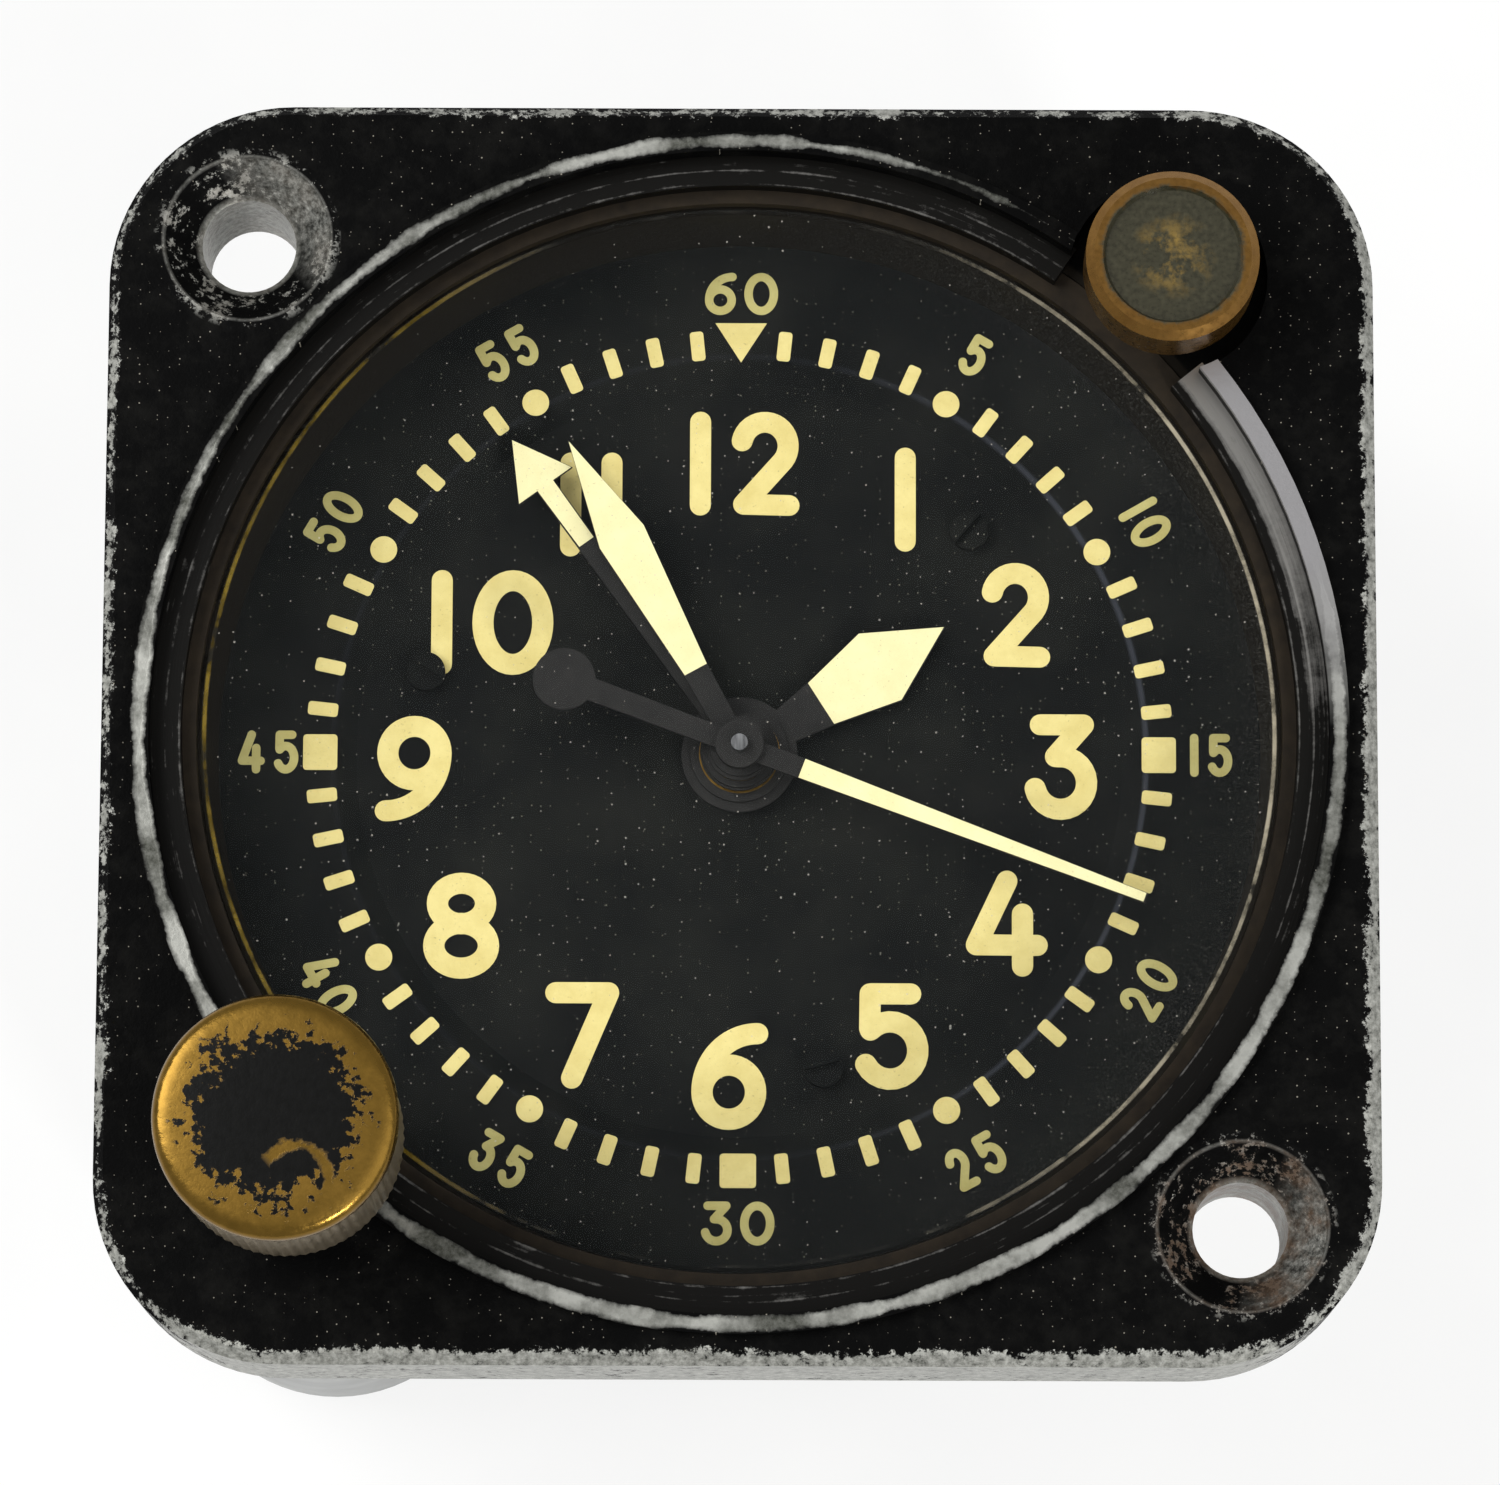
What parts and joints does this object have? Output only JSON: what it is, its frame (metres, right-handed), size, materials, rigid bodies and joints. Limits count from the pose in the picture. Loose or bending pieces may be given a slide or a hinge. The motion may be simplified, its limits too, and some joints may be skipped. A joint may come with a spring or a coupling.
{
  "type": "aircraft clock",
  "caption": "Square-flanged aircraft panel clock with winding knob, push button, hour, minute, elapsed and sweep hands, and a geared movement inside a lobed can",
  "frame": {"origin": "middle of the rear cover's outer face", "axes": "+Z leaves the dial towards the reader, +Y is 12 o'clock, +X is 3 o'clock"},
  "size_m": [0.0604, 0.0604, 0.0564],
  "materials": {
    "black_paint": "worn satin black paint on cast aluminium",
    "ring_black": "blackened spring steel",
    "glass": "clear flat glass",
    "seal": "dark brown sealing compound",
    "dial_black": "matt black dial",
    "hand_grey": "dark grey metal with cream paint in the frames",
    "knob_brass": "worn knurled brass with black paint on top",
    "button_copper": "worn brass with a dark top",
    "brass": "cut brass",
    "plate_brass": "brushed brass",
    "steel": "polished steel",
    "blued_steel": "blued steel",
    "aluminium": "turned aluminium"
  },
  "bodies": {
    "case": {"bezel_flange": "black_paint", "glass": "glass", "glass_gasket": "seal", "snap_ring": "ring_black", "case_can": "aluminium", "case_screws": "steel", "rear_gasket": "seal", "rear_cover": "black_paint", "rear_cover_screws": "steel", "knob_bushing": "brass", "button_bushing": "brass", "movement_ring": "aluminium", "dial": "dial_black", "dial_screws": "dial_black", "front_plate": "plate_brass", "back_plate": "plate_brass", "pillars": "plate_brass", "plate_screws": "blued_steel", "balance_cock": "plate_brass", "bridge_screws": "blued_steel", "lever_pin": "steel", "hammer_screws": "blued_steel", "button_spring": "steel"},
    "minute_body": {"minute_hand": "hand_grey", "cannon_pinion": "steel"},
    "hour_body": {"hour_hand": "hand_grey", "hour_wheel": "brass"},
    "minute_wheel_body": {"minute_wheel": "brass"},
    "setting_wheel_body": {"setting_wheel": "brass"},
    "sweep_body": {"sweep_hand": "hand_grey", "sweep_arbor": "steel", "heart_cam": "steel"},
    "recorder_idler_body": {"recorder_idler": "brass"},
    "elapsed_body": {"elapsed_hand": "hand_grey", "recorder_wheel": "brass"},
    "fourth_body": {"fourth_wheel": "brass"},
    "third_body": {"third_wheel": "brass"},
    "centre_body": {"centre_wheel": "brass"},
    "second_body": {"second_wheel": "brass"},
    "barrel_body": {"mainspring_barrel": "brass", "barrel_cover": "brass", "mainspring": "blued_steel"},
    "escape_body": {"escape_wheel": "brass"},
    "sweep_idler_body": {"sweep_idler": "brass"},
    "sweep_wheel_body": {"sweep_wheel": "brass"},
    "yoke_body": {"setting_yoke": "steel"},
    "stem_body": {"knob": "knob_brass", "knob_screw": "steel", "winding_stem": "steel"},
    "ratchet_body": {"ratchet_wheel": "steel", "barrel_arbor": "steel"},
    "click_body": {"click": "steel"},
    "balance_body": {"balance_wheel": "brass", "balance_staff": "steel", "hairspring": "blued_steel"},
    "pallet_body": {"pallet_fork": "steel"},
    "button_body": {"button": "button_copper"},
    "lever_body": {"reset_lever": "steel"},
    "hammer_body": {"reset_hammer": "steel"}
  },
  "joints": [
    {"name": "minute_turn", "type": "hinge", "parent": "case", "child": "minute_body", "pos_m": [0, 0, 0.033], "axis": [0, 0, 1], "continuous": true},
    {"name": "hour_turn", "type": "hinge", "parent": "case", "child": "hour_body", "pos_m": [0, 0, 0.0347], "axis": [0, 0, 1], "continuous": true},
    {"name": "minute_wheel_turn", "type": "hinge", "parent": "case", "child": "minute_wheel_body", "pos_m": [-0.00624, -0.00597, 0.0327], "axis": [0, 0, 1], "continuous": true},
    {"name": "setting_wheel_turn", "type": "hinge", "parent": "case", "child": "setting_wheel_body", "pos_m": [-0.01509, -0.01444, 0.0327], "axis": [0, 0, 1], "continuous": true},
    {"name": "sweep_turn", "type": "hinge", "parent": "case", "child": "sweep_body", "pos_m": [0, 0, 0.0125], "axis": [0, 0, 1], "continuous": true},
    {"name": "recorder_idler_turn", "type": "hinge", "parent": "case", "child": "recorder_idler_body", "pos_m": [-0.001, 0.00814, 0.0125], "axis": [0, 0, 1], "continuous": true},
    {"name": "elapsed_turn", "type": "hinge", "parent": "case", "child": "elapsed_body", "pos_m": [0, 0, 0.0337], "axis": [0, 0, 1], "continuous": true},
    {"name": "fourth_turn", "type": "hinge", "parent": "case", "child": "fourth_body", "pos_m": [0.01295, 0.00008, 0.0222], "axis": [0, 0, 1], "continuous": true},
    {"name": "third_turn", "type": "hinge", "parent": "case", "child": "third_body", "pos_m": [0.00655, 0.00378, 0.0282], "axis": [0, 0, 1], "continuous": true},
    {"name": "centre_turn", "type": "hinge", "parent": "case", "child": "centre_body", "pos_m": [0, 0, 0.0265], "axis": [0, 0, 1], "continuous": true},
    {"name": "second_turn", "type": "hinge", "parent": "case", "child": "second_body", "pos_m": [-0.0081, 0.00221, 0.025], "axis": [0, 0, 1], "continuous": true},
    {"name": "barrel_turn", "type": "hinge", "parent": "case", "child": "barrel_body", "pos_m": [-0.01006, -0.00963, 0.02], "axis": [0, 0, 1], "continuous": true},
    {"name": "escape_turn", "type": "hinge", "parent": "case", "child": "escape_body", "pos_m": [0.00885, -0.00577, 0.0173], "axis": [0, 0, 1], "continuous": true},
    {"name": "sweep_idler_turn", "type": "hinge", "parent": "case", "child": "sweep_idler_body", "pos_m": [0.00647, 0.00132, 0.0108], "axis": [0, 0, 1], "continuous": true},
    {"name": "sweep_wheel_turn", "type": "hinge", "parent": "case", "child": "sweep_wheel_body", "pos_m": [0, 0, 0.0108], "axis": [0, 0, 1], "continuous": true},
    {"name": "knob_pull", "type": "slide", "parent": "case", "child": "yoke_body", "axis": [0, 0, 1], "range_m": [0, 0.002]},
    {"name": "knob_turn", "type": "hinge", "parent": "yoke_body", "child": "stem_body", "pos_m": [-0.0209, -0.02, 0.03], "axis": [0, 0, 1], "continuous": true},
    {"name": "ratchet_turn", "type": "hinge", "parent": "case", "child": "ratchet_body", "pos_m": [-0.01006, -0.00963, 0.0122], "axis": [0, 0, 1], "continuous": true},
    {"name": "click_lift", "type": "hinge", "parent": "case", "child": "click_body", "pos_m": [-0.01451, 0.00259, 0.0121], "axis": [0, 0, 1], "range_deg": [0, 10]},
    {"name": "balance_swing", "type": "hinge", "parent": "case", "child": "balance_body", "pos_m": [0.01165, -0.01348, 0.0095], "axis": [0, 0, 1], "range_deg": [-135, 135], "stiffness_Nm_per_rad": 0.000006},
    {"name": "pallet_rock", "type": "hinge", "parent": "case", "child": "pallet_body", "pos_m": [0.01005, -0.00906, 0.0173], "axis": [0, 0, 1], "range_deg": [-8.05, 8.05]},
    {"name": "button_press", "type": "slide", "parent": "case", "child": "button_body", "axis": [0, 0, -1], "range_m": [0, 0.0018], "stiffness_N_per_m": 400, "springref_m": -0.003, "deforming": ["button_spring"]},
    {"name": "lever_rock", "type": "hinge", "parent": "case", "child": "lever_body", "pos_m": [0.01472, 0.01581, 0.0122], "axis": [-0.7318, 0.6815, 0], "range_deg": [0, 12.6]},
    {"name": "hammer_slide", "type": "slide", "parent": "case", "child": "hammer_body", "axis": [-0.6815, -0.7318, 0], "range_m": [0, 0.00064]}
  ],
  "couplings": [
    {"joint": "minute_wheel_turn", "follows": "minute_turn", "ratio": -0.33333},
    {"joint": "hour_turn", "follows": "minute_turn", "ratio": 0.083333},
    {"joint": "setting_wheel_turn", "follows": "minute_turn", "ratio": 0.375},
    {"joint": "recorder_idler_turn", "follows": "sweep_turn", "ratio": -0.125},
    {"joint": "elapsed_turn", "follows": "sweep_turn", "ratio": 0.016667},
    {"joint": "third_turn", "follows": "fourth_turn", "ratio": -0.13333},
    {"joint": "centre_turn", "follows": "fourth_turn", "ratio": 0.016667},
    {"joint": "second_turn", "follows": "fourth_turn", "ratio": -0.0027778},
    {"joint": "barrel_turn", "follows": "fourth_turn", "ratio": 0.00055556},
    {"joint": "escape_turn", "follows": "fourth_turn", "ratio": -10},
    {"joint": "sweep_idler_turn", "follows": "fourth_turn", "ratio": -1.2},
    {"joint": "sweep_wheel_turn", "follows": "fourth_turn", "ratio": 1},
    {"joint": "ratchet_turn", "follows": "knob_turn", "ratio": -0.5},
    {"joint": "pallet_rock", "follows": "balance_swing", "ratio": 0.059259},
    {"joint": "lever_rock", "follows": "button_press", "rad_per_m": 121.08},
    {"joint": "hammer_slide", "follows": "button_press", "ratio": 0.35}
  ]
}
